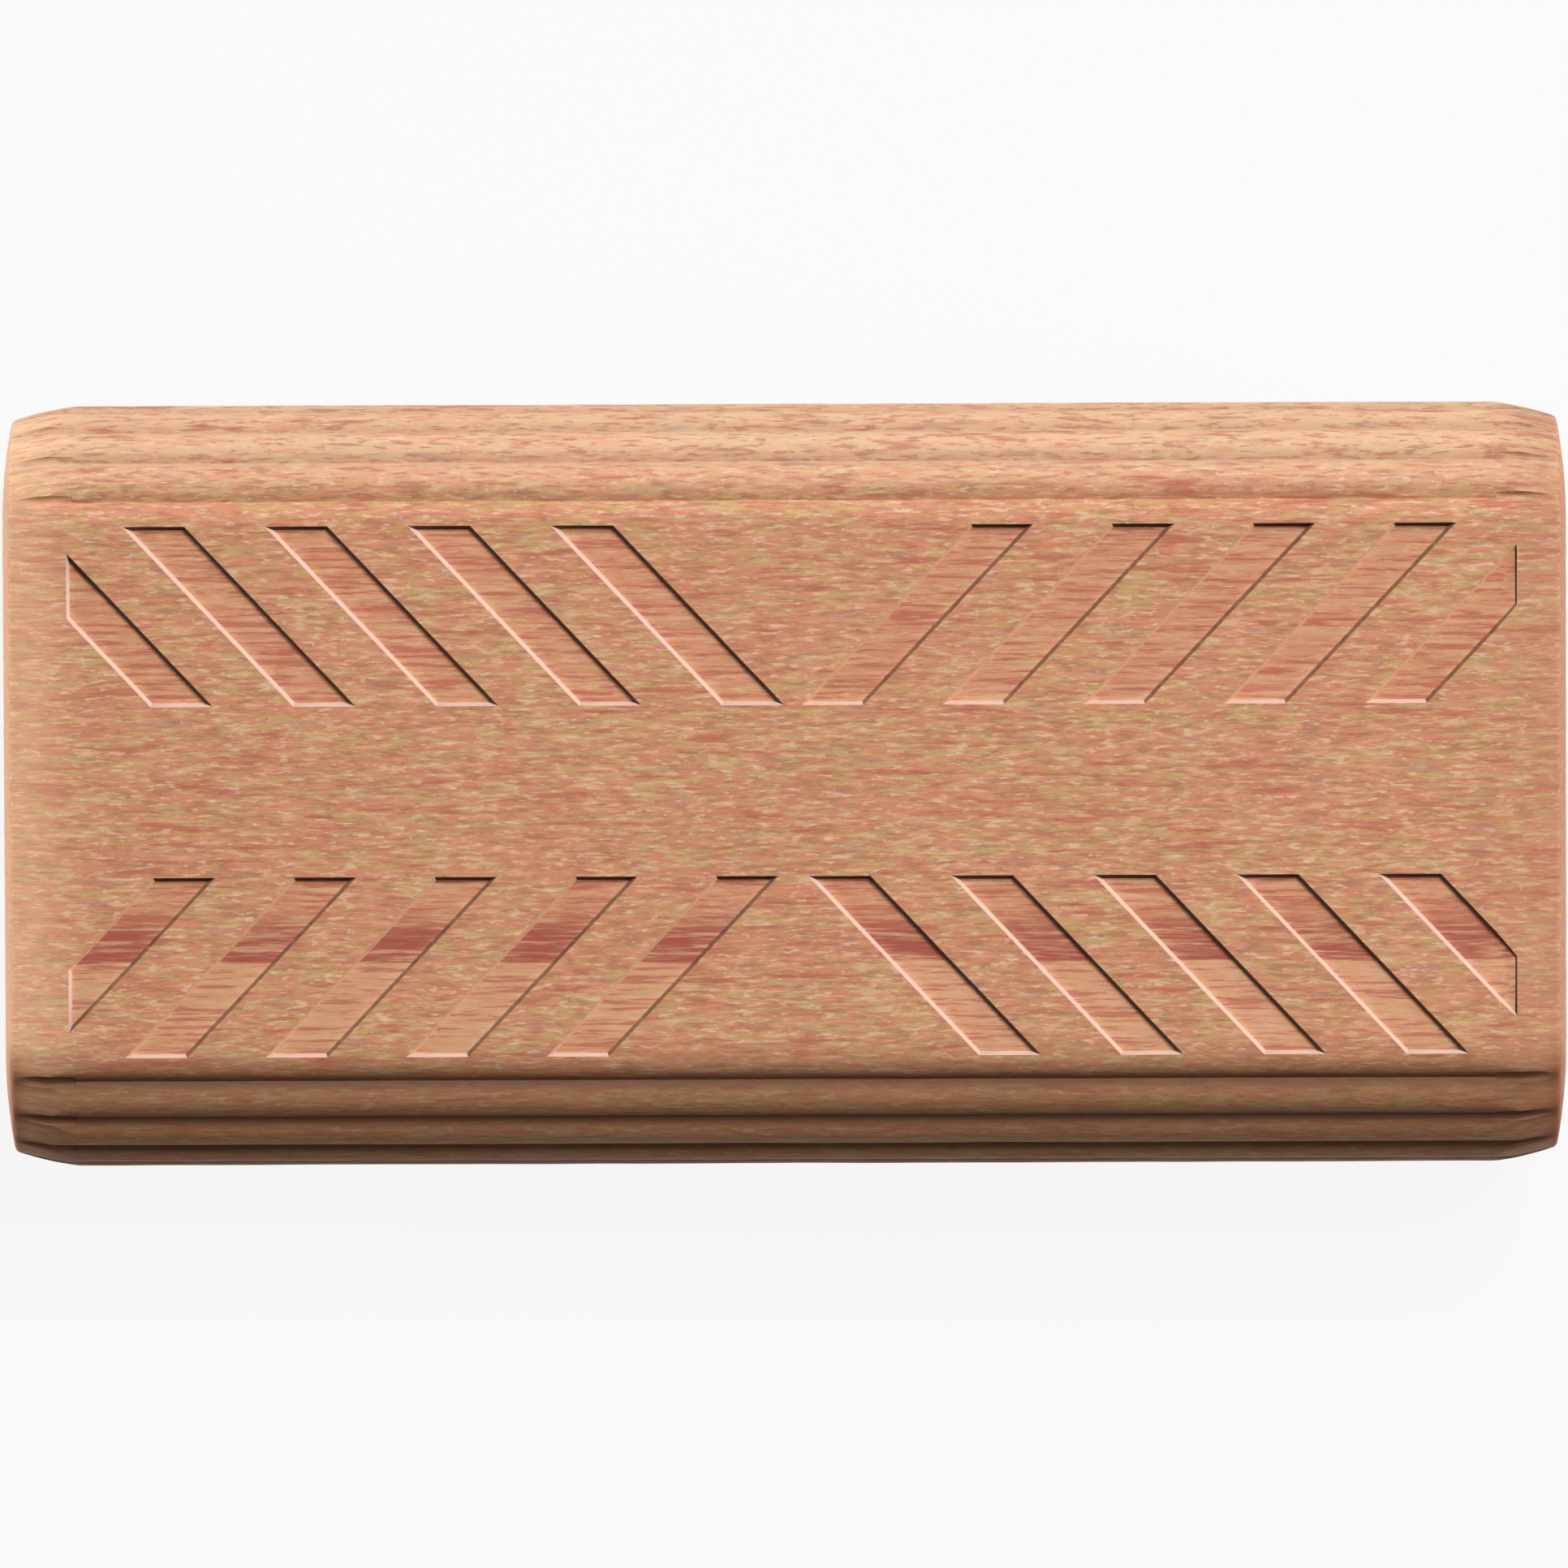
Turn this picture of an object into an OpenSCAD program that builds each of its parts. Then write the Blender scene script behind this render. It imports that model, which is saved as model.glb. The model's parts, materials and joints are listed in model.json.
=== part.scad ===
// Loose tenon: a flat oval slip of beech that is glued into two slotted mortises.
// +X runs along the tenon, +Z through its thickness, and the origin is at its centre.

/* [Body] */
// Length from end to end
length = 40; // [30:0.5:60]
// Width across the two round edges
width = 19.5; // [17:0.25:26]
// Thickness across the two flat faces
thickness = 6; // [5:0.25:8]

/* [Reeded edges] */
// Angle from one bead to the next, round an edge
bead_angle = 22; // [20:0.5:22.5]
// Depth of the grooves between the beads
groove_depth = 0.2; // [0.1:0.05:0.3]

/* [Ends] */
// Radius of the crown on each end
crown_radius = 13.5; // [8:0.5:40]
// Radius of the lead-in that eases the rim of each end
lead_radius = 8; // [4:0.5:16]
// Length of the lead-in
lead_length = 1.65; // [1:0.05:2.5]
// Depth of the lead-in, at the rim of the end
lead_depth = 0.38; // [0.2:0.02:0.6]
// Width of the crease in which a groove runs on over the lead-in
crease_width = 0.3; // [0.24:0.02:0.4]
// How far short of the rim the creases fade out
crease_stop = 0.15; // [0.1:0.05:0.3]

/* [Glue pockets] */
// Depth of the pockets below a face
pocket_depth = 0.15; // [0.1:0.05:0.5]
// Length of a pocket's short sides, along the tenon
pocket_width = 1.58; // [0.8:0.02:2]
// Distance from one pocket to the next, in the two rows that lean towards +X and +Y
leading_pitch = 3.58; // [3:0.01:5]
// Distance from one pocket to the next, in the two rows that lean the other way
trailing_pitch = 3.63; // [3:0.01:5]
// Angle of the pockets from the length of the tenon
pocket_slant = 46.6; // [40:0.1:60]
// How far the walls of a pocket lean out from its floor to the face
pocket_draft = 0.09; // [0.04:0.01:0.2]
// Plain strip along the middle of a face, between the two rows of pockets
middle_strip = 4.36; // [2:0.02:6]
// Plain gap between the innermost pockets of the two rows at +Y
far_gap = 0.44; // [0.3:0.02:2]
// Plain gap between the innermost pockets of the two rows at -Y
near_gap = 0.76; // [0.3:0.02:2]
// Plain margin from a face's round edge to the pockets
edge_margin = 0.07; // [0:0.01:0.5]
// Plain margin from an end to the outermost pockets
end_margin = 1.54; // [1.4:0.02:3]
// How far the press set the whole pattern off centre, along the tenon
press_offset = 0.2; // [-0.4:0.05:0.4]

/* [Hidden] */
$fn = 96;
wood = "#d09a74";
// More than any cut needs, so that a cutter passes right through
spare = 0.5;
// Distance that keeps a cutter's idle side away from the wood it must not touch
clear = 1;

// Round edges: nine beads fan over each half circle, and the last one at
// either side meets the flat face without a step.
beads_each_way = 4;
half_thickness = thickness / 2;
valley_radius = half_thickness - groove_depth;
half_bead = bead_angle / 2;
// Radius of a bead that touches the round edge and leaves a valley of the groove's depth
bead_radius = (half_thickness ^ 2 + valley_radius ^ 2 - 2 * half_thickness * valley_radius * cos(half_bead))
    / (2 * (half_thickness - valley_radius * cos(half_bead)));
last_bead = beads_each_way * bead_angle;
bead_circle = (half_thickness - bead_radius) / sin(last_bead);
edge_y = width / 2 - bead_radius - bead_circle;
flat_y = edge_y + bead_circle * cos(last_bead);

// Ends: the rim is where the crown meets the lead-in.
rim_z = half_thickness - lead_depth;
rim_x = length / 2 - crown_radius + sqrt(crown_radius ^ 2 - rim_z ^ 2);
// Centre of the lead-in's arc, which passes through the rim and the start on the face
chord = norm([lead_length, lead_depth]);
chord_fall = atan2(lead_depth, lead_length);
chord_to_centre = sqrt(lead_radius ^ 2 - (chord / 2) ^ 2);
lead_x = rim_x - lead_length / 2 - chord_to_centre * sin(chord_fall);
lead_z = half_thickness - lead_depth / 2 - chord_to_centre * cos(chord_fall);
lead_top = lead_z + lead_radius;
// Creases: the bottom of each falls from the groove, at the start of the
// lead-in, to the lead-in's own surface just short of the rim.
crease_start = rim_x - lead_length;
crease_end = rim_x - crease_stop;
crease_drop = valley_radius - lead_z - sqrt(lead_radius ^ 2 - (crease_end - lead_x) ^ 2);
crease_fall = atan2(crease_drop, crease_end - crease_start);

// Pockets: one slanted bar each, kept to a window in each quarter of a face.
band_inner = middle_strip / 2;
band_outer = flat_y - edge_margin;
window_end = length / 2 - end_margin;
bar_length = 2 * (band_outer - band_inner) / sin(pocket_slant);

// Section across the tenon, with +Y to the right and +Z up
module reeded_section() {
    square([2 * flat_y, thickness], center = true);
    for (side = [-1, 1])
        translate([side * edge_y, 0]) {
            circle(r = bead_circle);
            for (i = [-beads_each_way : beads_each_way])
                rotate(i * bead_angle)
                    translate([side * bead_circle, 0])
                        circle(r = bead_radius);
        }
}

// Shape of one end seen from the side, from the start of its lead-in arcs
module end_outline() {
    intersection() {
        translate([length / 2 - crown_radius, 0])
            circle(r = crown_radius);
        intersection_for(side = [-1, 1])
            translate([lead_x, side * lead_z])
                circle(r = lead_radius);
        translate([lead_x, -thickness])
            square([length, 2 * thickness]);
    }
}

// Shape of the whole tenon seen from the side, a little thicker than its faces
module side_outline() {
    square([2 * lead_x, 2 * lead_top], center = true);
    for (end = [0, 1])
        mirror([end, 0])
            end_outline();
}

// Space that the crowned and eased ends leave: straight between the two edge
// centres, and turned about them at the round edges
module end_envelope() {
    rotate([90, 0, 0])
        linear_extrude(2 * edge_y, center = true)
            side_outline();
    for (side = [0, 1])
        mirror([0, side, 0])
            translate([0, edge_y, 0])
                rotate([0, 90, 0])
                    rotate_extrude(angle = 180)
                        intersection() {
                            rotate(90)
                                side_outline();
                            translate([0, -length])
                                square([thickness, 2 * length]);
                        }
}

// The creases of all the grooves, at both ends
module creases() {
    for (end = [0, 1])
        for (side = [0, 1])
            mirror([end, 0, 0])
                mirror([0, side, 0])
                    for (i = [-beads_each_way : beads_each_way - 1])
                        translate([crease_start, edge_y, 0])
                            rotate([(i + 0.5) * bead_angle - 90, 0, 0])
                                translate([0, 0, valley_radius])
                                    rotate([0, 90 + crease_fall, 0])
                                        translate([-crease_width / 2, 0, 0])
                                            cylinder(h = lead_length + spare, d = crease_width);
}

// Bar with leaning walls that lies on y = 0 and cuts down from z = 0: `wide` at the
// face, narrower by the draft of both walls at its floor
module drafted_bar(wide, run) {
    lean = pocket_draft / pocket_depth;
    rotate([90, 0, 90])
        linear_extrude(run, center = true)
            polygon([
                [-wide / 2 + pocket_draft, -pocket_depth],
                [wide / 2 - pocket_draft, -pocket_depth],
                [wide / 2 + lean * spare, spare],
                [-wide / 2 - lean * spare, spare]
            ]);
}

// One row of pockets, below z = 0 and in the quarter with +X and +Y
module pocket_row(pitch, gap) {
    across = pocket_width * sin(pocket_slant);
    reach = window_end - gap / 2 + clear;
    last = floor((window_end - gap / 2 - pocket_width) / pitch);
    intersection() {
        for (i = [0 : last])
            translate([(gap + pocket_width) / 2 + i * pitch, band_inner, 0])
                rotate(pocket_slant)
                    drafted_bar(across, 2 * bar_length);
        translate([0, (band_inner + band_outer) / 2, 0])
            drafted_bar(band_outer - band_inner, 2 * length);
        translate([window_end - reach / 2, 0, 0])
            rotate(90)
                drafted_bar(reach, 2 * width);
    }
}

// All pockets of the upper face: four rows, mirrored about the middle
module pocket_face() {
    translate([press_offset, 0, half_thickness])
        for (x = [0, 1])
            for (y = [0, 1])
                mirror([x, 0, 0])
                    mirror([0, y, 0])
                        pocket_row(x == y ? leading_pitch : trailing_pitch, y == 0 ? far_gap : near_gap);
}

module tenon() {
    color(wood)
        difference() {
            intersection() {
                rotate([90, 0, 90])
                    linear_extrude(length + 2 * spare, center = true)
                        reeded_section();
                end_envelope();
            }
            creases();
            pocket_face();
            rotate([180, 0, 0])
                pocket_face();
        }
}

tenon();
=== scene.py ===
import json
import math
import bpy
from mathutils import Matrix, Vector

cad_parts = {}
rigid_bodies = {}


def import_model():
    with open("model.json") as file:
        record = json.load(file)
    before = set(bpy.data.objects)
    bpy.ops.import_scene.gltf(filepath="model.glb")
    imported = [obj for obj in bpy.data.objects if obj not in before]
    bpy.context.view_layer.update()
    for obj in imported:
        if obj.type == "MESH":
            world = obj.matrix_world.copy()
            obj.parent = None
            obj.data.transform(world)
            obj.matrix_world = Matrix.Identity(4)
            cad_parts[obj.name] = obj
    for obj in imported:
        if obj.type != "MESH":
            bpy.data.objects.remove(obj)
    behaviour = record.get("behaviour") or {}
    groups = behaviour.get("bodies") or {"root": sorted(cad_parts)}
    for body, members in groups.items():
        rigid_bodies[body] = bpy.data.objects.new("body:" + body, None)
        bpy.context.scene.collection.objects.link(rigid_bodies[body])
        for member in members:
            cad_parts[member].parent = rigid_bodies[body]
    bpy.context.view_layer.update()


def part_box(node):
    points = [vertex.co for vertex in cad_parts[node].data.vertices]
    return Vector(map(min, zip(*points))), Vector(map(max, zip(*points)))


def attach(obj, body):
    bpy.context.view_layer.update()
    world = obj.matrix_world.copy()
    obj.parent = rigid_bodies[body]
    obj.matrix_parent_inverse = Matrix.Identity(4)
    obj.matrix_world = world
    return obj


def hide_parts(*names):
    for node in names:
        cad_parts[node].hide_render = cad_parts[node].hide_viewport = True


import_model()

from types import SimpleNamespace

import bmesh
import bpy
from bpy.props import FloatProperty, FloatVectorProperty, PointerProperty
from mathutils import Vector

bl_info = {
    "name": "Loose Tenon",
    "version": (1, 0, 0),
    "blender": (4, 5, 0),
    "location": "3D View > Sidebar > Tenon",
    "description": "Makes a reeded beech tenon with pressed glue pockets, and the studio around it",
    "category": "Object",
}

MM = 0.001
LOW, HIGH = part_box("tenon")
BOX_SIZE = [high - low for low, high in zip(LOW, HIGH)]
EDGE_BEADS = 4  # beads on each side of the middle one, on a round edge
SEAM = 0.001 * MM  # points of a seam that lie closer than this are one
TOUCH = 0.01 * MM  # a point that lies closer than this to a plane is on it
SLIVER = 0.004 * MM  # points that a Boolean leaves closer than this are welded
SMOOTH_BELOW = math.radians(28)  # faces that meet at a smaller angle are shaded as one surface
FLOOR_SIZE = 4.0
SENSOR_WIDTH = 36  # of the camera, in millimetres

# The direction of each lamp in degrees, from +X and from the floor, then its distance, length and width.
LAMPS = {
    "press_lamp": (35, 50, 0.5, 0.05, 0.05),
    "edge_lamp": (65, 43, 0.45, 0.15, 0.1),
    "end_lamp": (170, 8, 0.45, 0.1, 0.1),
    "side_lamp": (-5, 12, 0.45, 0.1, 0.1),
}


def hex_colour(code):
    """The linear RGBA values of an sRGB colour such as D0A070."""
    levels = [int(code[i:i + 2], 16) / 255 for i in (0, 2, 4)]
    linear = [v / 12.92 if v <= 0.04045 else ((v + 0.055) / 1.055) ** 2.4 for v in levels]
    return (*linear, 1.0)


def size(name, description, default_mm):
    """A length property, given in millimetres."""
    return FloatProperty(name=name, description=description, default=default_mm * MM,
                         min=0.0, unit="LENGTH", precision=5)


def colour(name, description, code):
    """A colour property, given as an sRGB hex value."""
    return FloatVectorProperty(name=name, description=description, default=hex_colour(code),
                               size=4, subtype="COLOR", min=0.0, max=1.0)


class TenonSizes(bpy.types.PropertyGroup):
    """Sizes of the wood, as the solid has them, and of its softened edges."""

    length: size("Length", "From end to end", BOX_SIZE[0] / MM)
    width: size("Width", "Across the two round edges", BOX_SIZE[1] / MM)
    thickness: size("Thickness", "Across the two flat faces", BOX_SIZE[2] / MM)
    groove_depth: size("Groove depth", "Depth of the grooves between the beads", 0.2)
    bead_angle: FloatProperty(name="Bead angle", description="From one bead to the next, round an edge",
                              default=math.radians(22), subtype="ANGLE")
    crown_radius: size("Crown radius", "Radius of the crown on each end", 13.5)
    lead_radius: size("Lead-in radius", "Radius of the lead-in that eases the rim of each end", 8)
    lead_length: size("Lead-in length", "Length of the lead-in", 1.65)
    lead_depth: size("Lead-in depth", "Depth of the lead-in, at the rim of the end", 0.38)
    crease_width: size("Crease width", "Width of the creases in which the grooves run on over a lead-in", 0.3)
    crease_stop: size("Crease stop", "How far short of the rim the creases fade out", 0.15)
    pocket_depth: size("Pocket depth", "Depth of the pockets below a face", 0.15)
    pocket_width: size("Pocket width", "Length of a pocket's short sides", 1.58)
    leading_pitch: size("Leading pitch", "From one pocket to the next, at +X +Y and at -X -Y", 3.58)
    trailing_pitch: size("Trailing pitch", "From one pocket to the next, in the other two rows", 3.63)
    pocket_slant: FloatProperty(name="Pocket slant", description="Angle from the length of the tenon",
                                default=math.radians(46.6), subtype="ANGLE")
    pocket_draft: size("Pocket draft", "How far a pocket's walls lean out", 0.09)
    middle_strip: size("Middle strip", "Plain strip along the middle of a face", 4.36)
    far_gap: size("Far gap", "Plain gap between the innermost pockets at +Y", 0.44)
    near_gap: size("Near gap", "Plain gap between the innermost pockets at -Y", 0.76)
    edge_margin: size("Edge margin", "From a face's round edge to the pockets", 0.07)
    end_margin: size("End margin", "From an end to the outermost pockets", 1.54)
    press_offset: size("Press offset", "How far the press set the pattern off centre", 0.2)
    # The pockets' walls that face this direction get a painted highlight, and those turned from it a painted
    # shade.
    painted_light_angle: FloatProperty(name="Press slide", description="Direction in which the punches rubbed",
                               default=math.radians(30), subtype="ANGLE")
    lip_round: size("Lip rounding", "Width of the softened lip of a pocket", 0.025)
    root_round: size("Root rounding", "Width of the softened foot of a pocket's wall", 0.02)
    rim_round: size("Rim rounding", "Width of the softened rim of an end", 0.09)
    cell_length: size("Cell length", "Spacing of the surface's points along the grain", 0.3)
    cell_width: size("Cell width", "Spacing of the surface's points across the faces", 0.25)
    fibre_relief: size("Fibre relief", "Height of the raised fibres", 0.02)
    fibre_length: size("Fibre length", "Length of a raised bundle of fibres", 2.2)
    fibre_width: size("Fibre width", "Width of a raised bundle of fibres", 0.32)


class TenonColours(bpy.types.PropertyGroup):
    """Colours of steamed beech, with painted shade and painted highlights on its edges, ends, grooves and
    pocket walls.
    """

    olive: colour("Olive tan", "Early wood", "C29E6A")
    salmon: colour("Salmon", "Late wood", "CC8666")
    dark_dash: colour("Dark dash", "Short reddish-brown fibres", "AC7556")
    light_dash: colour("Light dash", "Short cream fibres", "DFB78E")
    fleck: colour("Fleck", "Pale ray flecks", "EBCBB0")
    blush: colour("Blush", "Pinkish patches", "D98C74")
    violet: colour("Violet grey", "Dull patches of mineral stain", "A5807A")
    red_streak: colour("Red streak", "Thin dark red streaks", "B4584A")
    pressed: colour("Pressed wood", "Floors of the pockets", "E39C78")
    # Painted highlight, full and faint, on the pockets' walls that face the painted light; the full one is
    # also a painted highlight on the far edge's outer flanks.
    crushed: colour("Crushed wood", "Pale walls of the pockets, where the punch sheared the fibres", "DDBBAC")
    faint_painted_highlight: colour("Sheared wood", "Walls of the pockets that the punch brushed only lightly", "F0C49A")
    # Painted shade on the pockets' walls turned from the painted light.
    rubbed: colour("Rubbed wood", "Dark walls of the pockets, along which the punch slid", "2A170E")
    # Painted shade in the grooves, strongest on the near edge.
    groove: colour("Groove", "Burnished wood deep in the grooves", "5E3A22")
    # Painted shade: the near edge, turned from the lamps, made browner.
    near_edge_shade: colour("Near edge", "Browner wood of the near edge", "7A5230")
    scorched: colour("Scorched rim", "Reddish rims at the near corners", "8C3A1E")
    # Painted highlight: the far edge, which faces the lamps, made paler.
    far_edge_highlight: colour("Far edge", "Paler wood of the far edge", "F0CDAA")
    # Painted highlight on the left end and painted shade on the right end.
    left_end_highlight: colour("Pale end", "Dry, open wood of the left end", "FFD2A8")
    right_end_shade: colour("Dark end", "Denser wood of the right end", "A87452")
    heart: colour("Heart", "Redder band that the near pockets show", "A0463E")
    pale_floor: colour("Pale floor", "Paler wood beside that band", "E9B68C")


class TenonStage(bpy.types.PropertyGroup):
    """Camera and lamps."""

    distance: size("Camera distance", "From the camera to the middle of the tenon", 400)
    view_width: size("View width", "Width that the camera takes in at the tenon", 40.17)
    aim: size("Aim", "How far right of the tenon's middle the camera stands", 0.05)
    tilt: FloatProperty(name="Tilt", description="Lean of the camera towards the far edge",
                        default=math.radians(3.2), subtype="ANGLE")
    roll: FloatProperty(name="Roll", description="Turn of the camera about its own axis",
                        default=math.radians(-0.2), subtype="ANGLE")
    press_lamp: FloatProperty(name="Press lamp", default=0.65,
                              description="Power of the small high lamp that draws the pockets' walls")
    edge_lamp: FloatProperty(name="Edge lamp", default=1.4,
                             description="Power of the long lamp beyond the far edge")
    end_lamp: FloatProperty(name="End lamp", default=1.52,
                            description="Power of the small lamp that grazes the left end")
    side_lamp: FloatProperty(name="Side lamp", default=0.7,
                             description="Power of the low lamp beyond the right end")
    fill: FloatProperty(name="Fill", description="Strength of the even light of the room", default=0.13)


def derive(driving):
    """The sizes that follow from the driving ones, named as on a drawing."""
    sizes = SimpleNamespace(**{name: getattr(driving, name) for name in TenonSizes.__annotations__})
    half = sizes.thickness / 2
    valley = half - sizes.groove_depth
    half_angle = sizes.bead_angle / 2
    sizes.half = half
    sizes.bead_radius = ((half ** 2 + valley ** 2 - 2 * half * valley * math.cos(half_angle))
                         / (2 * (half - valley * math.cos(half_angle))))
    last = EDGE_BEADS * sizes.bead_angle
    sizes.bead_circle = (half - sizes.bead_radius) / math.sin(last)
    sizes.bead_reach = half_angle + math.asin(sizes.bead_circle * math.sin(half_angle) / sizes.bead_radius)
    sizes.edge_y = sizes.width / 2 - sizes.bead_radius - sizes.bead_circle
    sizes.flat_y = sizes.edge_y + sizes.bead_circle * math.cos(last)
    sizes.rim_z = half - sizes.lead_depth
    crown_x = sizes.length / 2 - sizes.crown_radius
    sizes.rim_x = crown_x + math.sqrt(sizes.crown_radius ** 2 - sizes.rim_z ** 2)
    chord = math.hypot(sizes.lead_length, sizes.lead_depth)
    fall = math.atan2(sizes.lead_depth, sizes.lead_length)
    to_centre = math.sqrt(sizes.lead_radius ** 2 - (chord / 2) ** 2)
    sizes.lead_x = sizes.rim_x - sizes.lead_length / 2 - to_centre * math.sin(fall)
    sizes.lead_z = half - sizes.lead_depth / 2 - to_centre * math.cos(fall)
    sizes.crease_start = sizes.rim_x - sizes.lead_length
    crease_end = sizes.rim_x - sizes.crease_stop
    crease_floor = sizes.lead_z + math.sqrt(sizes.lead_radius ** 2 - (crease_end - sizes.lead_x) ** 2)
    sizes.crease_fall = math.atan2(valley - crease_floor, crease_end - sizes.crease_start)
    sizes.valley = valley
    sizes.band_inner = sizes.middle_strip / 2
    sizes.band_outer = sizes.flat_y - sizes.edge_margin
    sizes.window_end = sizes.length / 2 - sizes.end_margin
    return sizes


def object_mode():
    """Leaves edit mode with nothing selected."""
    if bpy.context.mode != "OBJECT":
        bpy.ops.object.mode_set(mode="OBJECT")
    bpy.ops.object.select_all(action="DESELECT")


def empty_mesh(name):
    """A new mesh with nothing in it, open in edit mode."""
    object_mode()
    bpy.ops.mesh.primitive_plane_add(size=MM)
    piece = bpy.context.object
    piece.name = name
    bpy.ops.object.mode_set(mode="EDIT")
    bpy.ops.mesh.delete(type="VERT")
    return piece


def one_vertex(name, place):
    """A new mesh of one selected vertex, open in edit mode."""
    object_mode()
    bpy.ops.mesh.primitive_plane_add(size=MM)
    piece = bpy.context.object
    piece.name = name
    bpy.ops.object.mode_set(mode="EDIT")
    bpy.ops.mesh.select_mode(type="VERT")
    bpy.ops.mesh.merge(type="CENTER")
    bpy.ops.transform.translate(value=place)
    return piece


def keep_selected(kind, test):
    """Narrows the selection in edit mode to the parts of one kind that pass a test."""
    mesh = bpy.context.edit_object.data
    shape = bmesh.from_edit_mesh(mesh)
    passed = {part.index for part in getattr(shape, kind) if part.select and test(part)}
    for part in shape.verts[:] + shape.edges[:] + shape.faces[:]:
        part.select = False
    for part in getattr(shape, kind):
        if part.index in passed:
            part.select_set(True)
    bmesh.update_edit_mesh(mesh)


def arc(centre, axis, angle, steps):
    """Draws on from the selected end, by a right-handed turn about an axis through a centre."""
    bpy.ops.mesh.spin(steps=steps, angle=-angle, center=centre, axis=axis)


def run(x=0.0, y=0.0):
    """Draws on from the selection, in a straight line."""
    bpy.ops.mesh.extrude_region_move(TRANSFORM_OT_translate={"value": (x, y, 0)})


def turn(axis, angle):
    """Turns the selection about an axis through the origin, by a right-handed angle."""
    bpy.ops.transform.rotate(value=-angle, orient_axis=axis, center_override=(0, 0, 0))


def close_up():
    """Joins the seam of a drawn shape and turns its faces outwards."""
    bpy.ops.mesh.select_all(action="SELECT")
    bpy.ops.mesh.remove_doubles(threshold=SEAM)
    bpy.ops.mesh.normals_make_consistent(inside=False)


def reeded_bar(sizes, steps=10, spare=1 * MM):
    """The moulded strip: nine beads round each edge and two flat faces, drawn along the grain."""
    start = -sizes.length / 2 - spare
    bar = one_vertex("strip", (start, sizes.flat_y, -sizes.half))
    axis = (1, 0, 0)
    for side in (1, -1):
        facing = 0 if side == 1 else math.pi
        for i in range(-EDGE_BEADS, EDGE_BEADS + 1):
            around = facing + i * sizes.bead_angle
            centre = (start, side * sizes.edge_y + sizes.bead_circle * math.cos(around),
                      sizes.bead_circle * math.sin(around))
            begin = -math.pi / 2 - i * sizes.bead_angle if i == -EDGE_BEADS else -sizes.bead_reach
            end = math.pi / 2 - i * sizes.bead_angle if i == EDGE_BEADS else sizes.bead_reach
            arc(centre, axis, end - begin, steps)
        run(y=-side * 2 * sizes.flat_y)
    close_up()
    bpy.ops.mesh.edge_face_add()
    run(x=sizes.length + 2 * spare)
    close_up()
    return bar


def end_envelope(sizes, crown_steps=12, lead_steps=18, round_steps=48):
    """The space between the two crowned and eased ends."""
    space = one_vertex("end_space", (-sizes.length / 2, sizes.edge_y, 0))
    crown = math.asin(sizes.rim_z / sizes.crown_radius)
    lead = math.asin((sizes.rim_x - sizes.lead_x) / sizes.lead_radius)
    axis = (0, 1, 0)
    arc((sizes.crown_radius - sizes.length / 2, sizes.edge_y, 0), axis, crown, crown_steps)
    arc((-sizes.lead_x, sizes.edge_y, sizes.lead_z), axis, lead, lead_steps)
    run(x=2 * sizes.lead_x)
    arc((sizes.lead_x, sizes.edge_y, sizes.lead_z), axis, lead, lead_steps)
    arc((sizes.length / 2 - sizes.crown_radius, sizes.edge_y, 0), axis, crown, crown_steps)
    for side in (1, -1):
        bpy.ops.mesh.select_all(action="SELECT")
        if side == -1:
            keep_selected("edges", lambda e: all(abs(v.co.y + sizes.edge_y) < TOUCH for v in e.verts))
        arc((0, side * sizes.edge_y, 0), (-1, 0, 0), math.pi, round_steps)
        run(y=-side * 2 * sizes.edge_y)
    close_up()
    return space


def crease_cutters(sizes, spare=0.5 * MM):
    """Round bars that sink from the end of each groove into the lead-in, at both ends."""
    bars = empty_mesh("crease_bars")
    length = sizes.lead_length + spare
    for i in range(-EDGE_BEADS, EDGE_BEADS):
        bpy.ops.mesh.select_all(action="DESELECT")
        bpy.ops.mesh.primitive_cylinder_add(vertices=24, radius=sizes.crease_width / 2, depth=length,
                                            location=(0, 0, length / 2))
        bpy.ops.transform.translate(value=(-sizes.crease_width / 2, 0, 0))
        turn("Y", math.pi / 2 + sizes.crease_fall)
        bpy.ops.transform.translate(value=(sizes.crease_start, 0, sizes.valley))
        turn("X", (i + 0.5) * sizes.bead_angle - math.pi / 2)
        bpy.ops.transform.translate(value=(0, sizes.edge_y, 0))
    for flip in ((-1, 1, 1), (1, -1, 1)):
        bpy.ops.mesh.select_all(action="SELECT")
        bpy.ops.mesh.duplicate()
        bpy.ops.transform.resize(value=flip, center_override=(0, 0, 0))
    bpy.ops.mesh.select_all(action="SELECT")
    bpy.ops.mesh.normals_make_consistent(inside=False)
    return bars


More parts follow.
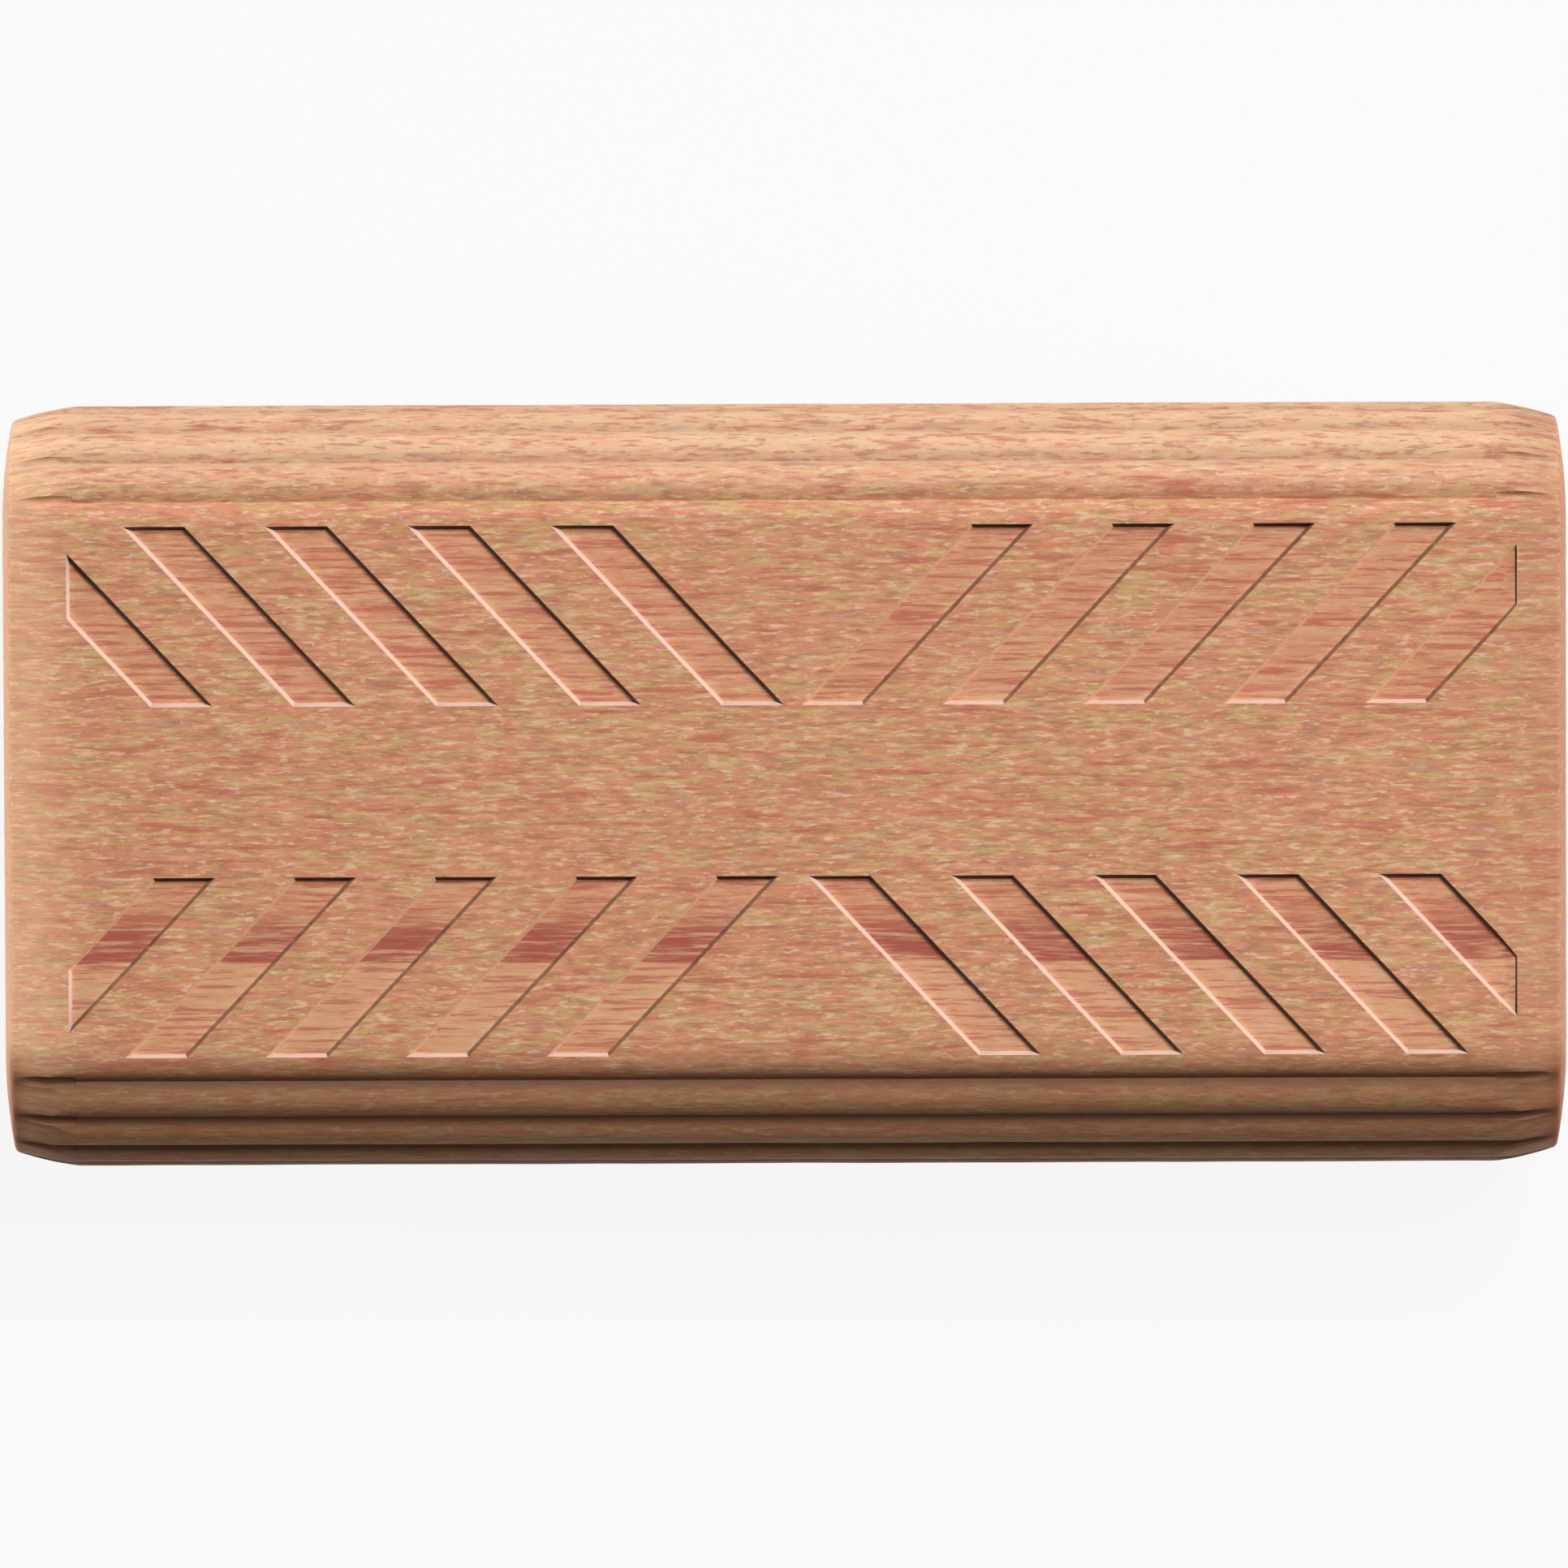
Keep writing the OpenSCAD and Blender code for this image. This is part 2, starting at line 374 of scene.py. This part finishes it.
def pocket_row(sizes, pitch, gap, lift=0.4 * MM):
    """Adds one row of drafted punches, over the quarter with +X and +Y, to the mesh in edit mode."""
    band = sizes.band_outer - sizes.band_inner
    shear = band / math.tan(sizes.pocket_slant)
    last = int((sizes.window_end - gap / 2 - sizes.pocket_width) / pitch)
    for i in range(last + 1):
        middle = (gap + sizes.pocket_width) / 2 + i * pitch
        bpy.ops.mesh.select_all(action="DESELECT")
        place = (middle, sizes.band_inner + band / 2, sizes.half + lift / 2)
        bpy.ops.mesh.primitive_cube_add(size=1, location=place, scale=(sizes.pocket_width, band, lift))
        bpy.ops.mesh.select_mode(type="VERT")
        keep_selected("verts", lambda v: v.co.y > sizes.band_inner + band / 2)
        bpy.ops.transform.translate(value=(shear, 0, 0))
        bpy.ops.mesh.select_linked()
        if middle + sizes.pocket_width / 2 + shear > sizes.window_end:
            bpy.ops.mesh.bisect(plane_co=(sizes.window_end, 0, 0), plane_no=(1, 0, 0),
                                clear_outer=True, use_fill=True)
            bpy.ops.mesh.select_linked()
        bpy.ops.mesh.select_mode(type="FACE")
        keep_selected("faces", lambda f: f.calc_center_median().z < sizes.half + TOUCH)
        bpy.ops.mesh.inset(thickness=sizes.pocket_draft, depth=sizes.pocket_depth, use_even_offset=True)


def pocket_cutters(sizes):
    """Forty drafted punches, in the places of the pressed pockets."""
    punches = empty_mesh("punches")
    for side_x, side_y in ((1, 1), (-1, 1), (1, -1), (-1, -1)):
        bpy.ops.mesh.hide(unselected=False)
        pocket_row(sizes, sizes.leading_pitch if side_x == side_y else sizes.trailing_pitch,
                   sizes.far_gap if side_y == 1 else sizes.near_gap)
        bpy.ops.mesh.select_all(action="SELECT")
        bpy.ops.transform.resize(value=(side_x, side_y, 1), center_override=(0, 0, 0))
        bpy.ops.mesh.select_all(action="SELECT")
    bpy.ops.mesh.reveal()
    bpy.ops.mesh.select_all(action="SELECT")
    bpy.ops.mesh.duplicate()
    turn("X", math.pi)
    bpy.ops.mesh.select_all(action="SELECT")
    bpy.ops.mesh.normals_make_consistent(inside=False)
    bpy.ops.transform.translate(value=(sizes.press_offset, 0, 0))
    return punches


def cut(piece, tool, operation):
    """Applies one Boolean to a piece and puts its tool away."""
    object_mode()
    bpy.context.view_layer.objects.active = piece
    piece.select_set(True)
    modifier = piece.modifiers.new(operation, "BOOLEAN")
    modifier.operation = operation
    modifier.object = tool
    modifier.solver = "EXACT"
    bpy.ops.object.modifier_apply(modifier=modifier.name)
    bpy.data.objects.remove(tool)


def soften(piece, sizes):
    """Rounds the lips and feet of the pockets and the rims of the ends, where the wood is worn or squashed.
    """
    object_mode()
    bpy.context.view_layer.objects.active = piece
    piece.select_set(True)
    bpy.ops.object.mode_set(mode="EDIT")
    bpy.ops.mesh.select_mode(type="EDGE")
    sharp = math.radians(35)
    floor_z = sizes.half - sizes.pocket_depth
    lip_z = sizes.half - 0.4 * sizes.pocket_depth  # a pocket's edges above this height are its lips

    def corner(edge):
        return len(edge.link_faces) == 2 and edge.calc_face_angle(0) > sharp

    def height(edge):
        return abs((edge.verts[0].co.z + edge.verts[1].co.z) / 2)

    def in_pockets(edge):
        return all(abs(v.co.y) < sizes.band_outer + TOUCH and abs(v.co.x) < sizes.rim_x - sizes.rim_round
                   for v in edge.verts)

    # The width and the segments of each rounding, and the edges that it takes.
    roundings = [
        (sizes.root_round, 2, lambda e: in_pockets(e) and abs(height(e) - floor_z) < TOUCH),
        (sizes.lip_round, 2, lambda e: in_pockets(e) and height(e) > lip_z),
        (sizes.rim_round, 3, lambda e: all(abs(v.co.x) > sizes.rim_x - 2 * TOUCH for v in e.verts)),
    ]
    for width, segments, test in roundings:
        bpy.ops.mesh.select_all(action="SELECT")
        keep_selected("edges", lambda e: corner(e) and test(e))
        bpy.ops.mesh.bevel(offset=width, segments=segments, affect="EDGES", clamp_overlap=True)
    # The Booleans leave slivers, thinner than a fibre, whose normals go wrong when they are sliced.
    bpy.ops.mesh.select_all(action="SELECT")
    bpy.ops.mesh.remove_doubles(threshold=SLIVER)


def slice_up(sizes):
    """Cuts the surface into small cells, so that relief can follow the grain."""
    cells = int(sizes.length / sizes.cell_length)
    places = [((i + 0.5) * sizes.length / cells - sizes.length / 2, (1, 0, 0)) for i in range(cells)]
    rows = int(2 * sizes.flat_y / sizes.cell_width)
    places += [((i + 0.5) * 2 * sizes.flat_y / rows - sizes.flat_y, (0, 1, 0)) for i in range(rows)]
    for place, normal in places:
        bpy.ops.mesh.select_all(action="SELECT")
        bpy.ops.mesh.bisect(plane_co=[place * n for n in normal], plane_no=normal)


def raise_fibres(piece, sizes):
    """Lets the softer wood between the fibre bundles sink a little, never past the solid."""
    object_mode()
    bpy.ops.object.empty_add()
    grain = bpy.context.object
    grain.scale = (sizes.fibre_length, sizes.fibre_width, sizes.fibre_width)
    bpy.context.view_layer.update()
    pattern = bpy.data.textures.new("fibre_bundles", "CLOUDS")
    pattern.noise_scale = 1.0
    pattern.noise_depth = 1
    object_mode()
    bpy.context.view_layer.objects.active = piece
    piece.select_set(True)
    modifier = piece.modifiers.new("fibres", "DISPLACE")
    modifier.texture = pattern
    modifier.texture_coords = "OBJECT"
    modifier.texture_coords_object = grain
    modifier.strength = sizes.fibre_relief
    modifier.mid_level = 1.0
    bpy.ops.object.modifier_apply(modifier=modifier.name)
    bpy.data.objects.remove(grain)


def mark_pockets(piece, sizes):
    """Records how deep each point lies in a pocket, and how each wall faces the painted light: towards it for
    painted highlight (1), away for painted shade (-1).
    """
    pressed = piece.data.attributes.new("pressed", "FLOAT", "POINT")
    wall = piece.data.attributes.new("wall", "FLOAT", "FACE")
    shallow = 0.1 * MM  # above this depth a point doesn't count as pressed
    upright = 0.9  # a face whose normal rises more steeply than this is no wall
    full = 0.4  # share of a wall's normal along the painted light at which its painted highlight or shade is full

    def in_window(x, y):
        return abs(y) < sizes.band_outer and abs(x - sizes.press_offset) < sizes.window_end

    for vertex, mark in zip(piece.data.vertices, pressed.data):
        x, y, z = vertex.co
        if in_window(x, y):
            mark.value = max(0.0, min(1.0, (sizes.half - abs(z) - shallow) / (sizes.pocket_depth - shallow)))
    for face, mark in zip(piece.data.polygons, wall.data):
        if in_window(face.center.x, face.center.y) and abs(face.normal.z) < upright:
            along = face.normal.x * math.cos(sizes.painted_light_angle) + face.normal.y * math.sin(sizes.painted_light_angle)
            mark.value = max(-1.0, min(1.0, along / full))


def add(tree, kind, inputs=None, **settings):
    """Adds a node, with its settings, and fills its inputs with values or links."""
    made = tree.nodes.new(kind)
    for name, value in settings.items():
        setattr(made, name, value)
    for name, value in (inputs or {}).items():
        if isinstance(value, bpy.types.NodeSocket):
            tree.links.new(value, made.inputs[name])
        else:
            made.inputs[name].default_value = value
    return made


def steamed_beech(colours, sizes):
    """Steamed beech, moulded and pressed: short dashes of fibre along the grain, pinkish and matte."""
    material = bpy.data.materials.new("steamed_beech")
    material.use_nodes = True
    tree = material.node_tree
    tree.nodes.clear()

    # What the masks and layers read is kept in values, by name.
    spot = add(tree, "ShaderNodeSeparateXYZ", {
        0: add(tree, "ShaderNodeTexCoord").outputs["Object"],
    }).outputs
    values = {"x": spot["X"], "y": spot["Y"], "z": spot["Z"]}
    for name in ("pressed", "wall"):
        values[name] = add(tree, "ShaderNodeAttribute", attribute_name=name).outputs["Fac"]

    # The sums down to height lead the grain over the lead-ins, so that the dashes keep their length there.
    # Those from around on find the beads and the grooves of the round edges.
    half_bead = sizes.bead_angle / 2
    sums = (
        ("away", "ABSOLUTE", "x", 0.0),
        ("aside", "ABSOLUTE", "y", 0.0),
        ("inside", "MINIMUM", "aside", sizes.edge_y),
        ("past_flat", "SUBTRACT", "aside", sizes.edge_y),
        ("beyond", "MAXIMUM", "past_flat", 0.0),
        ("past_bar", "MAXIMUM", "away", sizes.crease_start),
        ("on_lead", "MINIMUM", "past_bar", sizes.rim_x),
        ("reach", "SUBTRACT", "on_lead", sizes.lead_x),
        ("reach_squared", "MULTIPLY", "reach", "reach"),
        ("drop_squared", "SUBTRACT", sizes.lead_radius ** 2, "reach_squared"),
        ("drop", "SQRT", "drop_squared", 0.0),
        ("surface", "ADD", "drop", sizes.lead_z),
        ("swell", "DIVIDE", sizes.half, "surface"),
        ("spread", "MULTIPLY", "beyond", "swell"),
        ("across", "ADD", "inside", "spread"),
        ("side", "SIGN", "y", 0.0),
        ("sideways", "MULTIPLY", "across", "side"),
        ("height", "MULTIPLY", "z", "swell"),
        ("around", "ARCTAN2", "z", "beyond"),
        ("from_bead", "PINGPONG", "around", half_bead),
        ("to_groove", "DIVIDE", "from_bead", half_bead),
        ("beads", "DIVIDE", "around", sizes.bead_angle),
        ("beads_on", "ADD", "beads", 0.5),
        ("phase", "FRACT", "beads_on", 0.0),
    )
    for name, operation, first, second in sums:
        values[name] = add(tree, "ShaderNodeMath", {
            0: values.get(first, first), 1: values.get(second, second),
        }, operation=operation).outputs[0]
    place = add(tree, "ShaderNodeCombineXYZ", {
        "X": values["x"], "Y": values["sideways"], "Z": values["height"],
    }).outputs[0]

    # Each noise has the length and width of its marks in millimetres, a shift and its detail. The vessels
    # of beech, about 0.05 mm wide, are too fine to show, so no mark is drawn narrower than 0.1 mm.
    noises = (
        ("mottle", 0.95, 0.15, 3.1, 3.0),
        ("zones", 6.0, 0.9, 17.3, 2.0),
        ("dashes", 0.55, 0.11, 41.7, 3.0),
        ("short", 0.42, 0.1, 67.9, 2.0),
        ("blush", 1.2, 0.2, 77.1, 3.0),
        ("stain", 1.6, 0.25, 29.3, 2.0),
        ("red", 2.4, 0.26, 91.3, 3.0),
        ("streaks", 1.7, 0.1, 53.9, 3.0),
    )
    for name, length, width, shift, detail in noises:
        scaled = add(tree, "ShaderNodeMapping", {
            "Vector": place, "Location": (shift, shift * 0.7, shift * 1.3),
            "Scale": (1 / (length * MM), 1 / (width * MM), 1 / (width * MM)),
        })
        values[name] = add(tree, "ShaderNodeTexNoise", {
            "Vector": scaled.outputs["Vector"], "Scale": 1.0, "Detail": detail, "Roughness": 0.6,
        }).outputs["Fac"]
    values["ragged"] = add(tree, "ShaderNodeMath", {
        0: values["streaks"], 1: 1.2 * MM, 2: values["y"],
    }, operation="MULTIPLY_ADD").outputs[0]

    # Each mask goes from 0 to 1, or between its last two numbers, as what it reads goes from its first
    # number to its second. The heartwood crosses the inner part of the near rows of pockets.
    left, right = -sizes.length / 2, sizes.length / 2
    near_side, far_side = -sizes.width / 2, sizes.width / 2
    near_rows = -sizes.band_inner
    masks = (
        ("late_wood", "mottle", 0.42, 0.58),
        ("late_zone", "zones", 0.48, 0.57),
        ("dark", "dashes", 0.53, 0.62),
        ("light", "dashes", 0.46, 0.37),
        ("pink", "blush", 0.55, 0.62),
        ("ray", "short", 0.58, 0.66),
        ("dull", "stain", 0.58, 0.70),
        ("red_fibre", "red", 0.57, 0.67),
        ("dark_streak", "streaks", 0.53, 0.60),
        ("light_streak", "streaks", 0.46, 0.38),
        ("left_end", "x", left + 2.4 * MM, left + 0.5 * MM),
        ("right_end", "x", right - 2.5 * MM, right),
        ("near", "y", near_side + 3.6 * MM, near_side + 2.45 * MM),
        ("far", "y", far_side - 2.75 * MM, far_side - 0.75 * MM),
        ("low", "z", 0.5 * MM, 0.0, 0.0, 0.6),
        ("edge", "beyond", 0.0, 0.1 * MM),
        ("before_end", "away", sizes.rim_x, sizes.rim_x - 0.1 * MM),
        ("groove", "to_groove", 0.4, 1.0),
        ("inner_flank", "phase", 0.5, 1.0),
        ("outer_flank", "phase", 0.25, 0.0),
        ("toward_rim", "away", sizes.rim_x - 0.5 * MM, sizes.rim_x),
        ("before_cap", "away", sizes.rim_x + 0.08 * MM, sizes.rim_x),
        ("off_cap", "away", sizes.rim_x + 0.25 * MM, sizes.rim_x, 0.3, 1.0),
        ("past_strip", "ragged", near_rows - 0.02 * MM, near_rows - 0.92 * MM),
        ("in_heart", "y", near_rows - 2.22 * MM, near_rows - 2.15 * MM),
        ("past_heart", "y", near_rows - 2.15 * MM, near_rows - 2.22 * MM),
        ("heart_share", "streaks", 0.38, 0.6, 0.4, 0.85),
        # These read which way a wall faces, for the painted highlight and painted shade on the pockets'
        # walls.
        ("brushed", "wall", 0.1, 0.5),
        ("crushed", "wall", 0.65, 0.95),
        ("rubbed", "wall", 0.0, -0.9),
    )
    for name, source, low, high, *ends in masks:
        least, most = ends or (0.0, 1.0)
        values[name] = add(tree, "ShaderNodeMapRange", {
            "Value": values[source], "From Min": low, "From Max": high, "To Min": least, "To Max": most,
        }, interpolation_type="SMOOTHSTEP").outputs["Result"]
    values["near_or_low"] = add(tree, "ShaderNodeMath", {
        0: values["near"], 1: values["low"],
    }, operation="MAXIMUM").outputs[0]

    # Each layer lays a share of its colour over those before it, where all its masks meet.
    round_edge = ("edge", "before_end")
    layers = (
        (colours.salmon, 1.0, "late_wood"),
        (colours.salmon, 0.55, "late_zone"),
        # Painted highlight over the far edge.
        (colours.far_edge_highlight, 0.5, "far"),
        (colours.dark_dash, 0.66, "dark"),
        (colours.light_dash, 0.6, "light"),
        (colours.blush, 0.5, "pink"),
        (colours.fleck, 0.5, "ray"),
        (colours.violet, 0.4, "dull"),
        (colours.red_streak, 0.6, "red_fibre"),
        # Painted highlight over the left end, painted shade over the right end.
        (colours.left_end_highlight, 0.25, "left_end"),
        (colours.right_end_shade, 0.4, "right_end"),
        (colours.pressed, 0.5, "pressed"),
        (colours.pale_floor, 0.35, "past_heart", "pressed"),
        (colours.heart, 1.0, "past_strip", "in_heart", "pressed", "heart_share"),
        (colours.red_streak, 0.6, "dark_streak", "pressed"),
        (colours.light_dash, 0.45, "light_streak", "pressed"),
        # Painted shade over the near edge.
        (colours.near_edge_shade, 0.58, "near", "off_cap"),
        (colours.scorched, 0.5, "toward_rim", "before_cap", "near"),
        # Painted shade in the grooves and on one flank of each bead, strongest on the near edge and around
        # the middle of each round edge; painted highlight on the far edge's outer flanks.
        (colours.groove, 0.8, "groove", "near_or_low", *round_edge),
        (colours.groove, 0.15, "groove", "far", *round_edge),
        (colours.groove, 0.4, "inner_flank", "near", *round_edge),
        (colours.groove, 0.15, "inner_flank", "far", *round_edge),
        (colours.crushed, 0.5, "outer_flank", "far", *round_edge),
        # Painted highlight on the pockets' walls that face the painted light, painted shade on those turned
        # from it.
        (colours.faint_painted_highlight, 0.55, "brushed"),
        (colours.crushed, 0.95, "crushed"),
        (colours.rubbed, 0.95, "rubbed"),
    )
    wood = tuple(colours.olive)
    for over, share, *marks in layers:
        for mark in marks:
            share = add(tree, "ShaderNodeMath", {0: share, 1: values[mark]}, operation="MULTIPLY").outputs[0]
        wood = add(tree, "ShaderNodeMix", {0: share, 6: wood, 7: tuple(over)}, data_type="RGBA").outputs[2]

    uneven = add(tree, "ShaderNodeMath", {0: values["dashes"], 1: values["mottle"]}, operation="ADD")
    bump = add(tree, "ShaderNodeBump", {
        "Height": uneven.outputs[0], "Strength": 0.4, "Distance": 0.03 * MM,
    })
    rough = add(tree, "ShaderNodeMapRange", {"Value": values["dashes"], "To Min": 0.55, "To Max": 0.75})
    surface = add(tree, "ShaderNodeBsdfPrincipled", {
        "Base Color": wood, "Roughness": rough.outputs["Result"], "IOR": 1.5,
        "Specular IOR Level": 0.35, "Normal": bump.outputs["Normal"],
    })
    add(tree, "ShaderNodeOutputMaterial", {"Surface": surface.outputs["BSDF"]})
    return material


class TENON_OT_wood(bpy.types.Operator):
    """Cuts the tenon from a reeded strip, eases its ends and presses its glue pockets"""

    bl_idname = "tenon.wood"
    bl_label = "Tenon"

    def execute(self, context):
        sizes = derive(context.scene.tenon_sizes)
        tenon = reeded_bar(sizes)
        cut(tenon, end_envelope(sizes), "INTERSECT")
        cut(tenon, crease_cutters(sizes), "DIFFERENCE")
        cut(tenon, pocket_cutters(sizes), "DIFFERENCE")
        soften(tenon, sizes)
        slice_up(sizes)
        raise_fibres(tenon, sizes)
        mark_pockets(tenon, sizes)
        bpy.ops.object.shade_smooth_by_angle(angle=SMOOTH_BELOW)
        tenon.name = "beech_tenon"
        tenon.data.name = "beech_tenon"
        tenon.data.materials.append(steamed_beech(context.scene.tenon_colours, sizes))
        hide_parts("tenon")
        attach(tenon, "root")
        return {"FINISHED"}


def white_card():
    """Matte white card: it takes the tenon's shadow, and comes out white where the camera sees it lit."""
    material = bpy.data.materials.new("white_card")
    material.use_nodes = True
    tree = material.node_tree
    tree.nodes.clear()
    rays = add(tree, "ShaderNodeLightPath").outputs
    seen = rays["Is Camera Ray"]
    for ray in ("Is Glossy Ray", "Is Transmission Ray"):
        seen = add(tree, "ShaderNodeMath", {0: seen, 1: rays[ray]}, operation="MAXIMUM").outputs[0]
    glow_share = 0.9  # the rest stays matte, so that the shadow shows
    share = add(tree, "ShaderNodeMath", {0: seen, 1: glow_share}, operation="MULTIPLY")
    matte = add(tree, "ShaderNodeBsdfDiffuse", {"Color": hex_colour("C8C8C6")})
    glow = add(tree, "ShaderNodeEmission", {"Color": hex_colour("FFFFFF")})
    lit = add(tree, "ShaderNodeMixShader", {0: share.outputs[0], 1: matte.outputs[0], 2: glow.outputs[0]})
    add(tree, "ShaderNodeOutputMaterial", {"Surface": lit.outputs[0]})
    return material


def lamp(name, azimuth, elevation, distance, length, width, power):
    """A soft lamp that points at the tenon, placed by its angles in degrees from +X and the floor."""
    around, up = math.radians(azimuth), math.radians(elevation)
    place = Vector((math.cos(around) * math.cos(up), math.sin(around) * math.cos(up), math.sin(up)))
    object_mode()
    bpy.ops.object.light_add(type="AREA", location=place * distance)
    made = bpy.context.object
    made.name = name
    made.data.shape = "RECTANGLE"
    made.data.size = length
    made.data.size_y = width
    made.data.energy = power
    made.rotation_euler = place.to_track_quat("Z", "Y").to_euler()


class TENON_OT_stage(bpy.types.Operator):
    """Lays the tenon on white card, under soft lamps, with the camera above it"""

    bl_idname = "tenon.stage"
    bl_label = "Stage"

    def execute(self, context):
        stage = context.scene.tenon_stage
        object_mode()
        bpy.ops.mesh.primitive_plane_add(size=FLOOR_SIZE, location=(0, 0, LOW[2]))
        floor = context.object
        floor.name = "floor"
        floor.data.materials.append(white_card())
        for name, placing in LAMPS.items():
            lamp(name, *placing, getattr(stage, name))

        world = bpy.data.worlds.new("studio")
        world.use_nodes = True
        background = world.node_tree.nodes["Background"]
        background.inputs["Color"].default_value = hex_colour("FFF0E4")
        background.inputs["Strength"].default_value = stage.fill
        context.scene.world = world

        object_mode()
        bpy.ops.object.camera_add()
        camera = context.object
        camera.name = "camera"
        camera.location = (stage.aim, stage.distance * math.sin(stage.tilt),
                           stage.distance * math.cos(stage.tilt))
        camera.rotation_euler = (-stage.tilt, 0, stage.roll)
        camera.data.sensor_width = SENSOR_WIDTH
        camera.data.lens = SENSOR_WIDTH * stage.distance / stage.view_width
        camera.data.clip_start = 1 * MM
        context.scene.camera = camera
        context.scene.view_settings.view_transform = "Standard"
        return {"FINISHED"}


class TENON_PT_panel(bpy.types.Panel):
    """Lists what can be made and the sizes and colours that it takes"""

    bl_idname = "TENON_PT_panel"
    bl_label = "Loose Tenon"
    bl_space_type = "VIEW_3D"
    bl_region_type = "UI"
    bl_category = "Tenon"

    def draw(self, context):
        layout = self.layout
        for group in (context.scene.tenon_sizes, context.scene.tenon_colours, context.scene.tenon_stage):
            box = layout.box()
            for name in group.__annotations__:
                box.prop(group, name)
        layout.operator("tenon.wood")
        layout.operator("tenon.stage")


GROUPS = {"tenon_sizes": TenonSizes, "tenon_colours": TenonColours, "tenon_stage": TenonStage}
CLASSES = (*GROUPS.values(), TENON_OT_wood, TENON_OT_stage, TENON_PT_panel)


def register():
    for cls in CLASSES:
        bpy.utils.register_class(cls)
    for name, group in GROUPS.items():
        setattr(bpy.types.Scene, name, PointerProperty(type=group))


def unregister():
    for name in GROUPS:
        delattr(bpy.types.Scene, name)
    for cls in reversed(CLASSES):
        bpy.utils.unregister_class(cls)


def main():
    register()
    bpy.ops.tenon.wood()
    bpy.ops.tenon.stage()


if __name__ == "__main__":
    main()
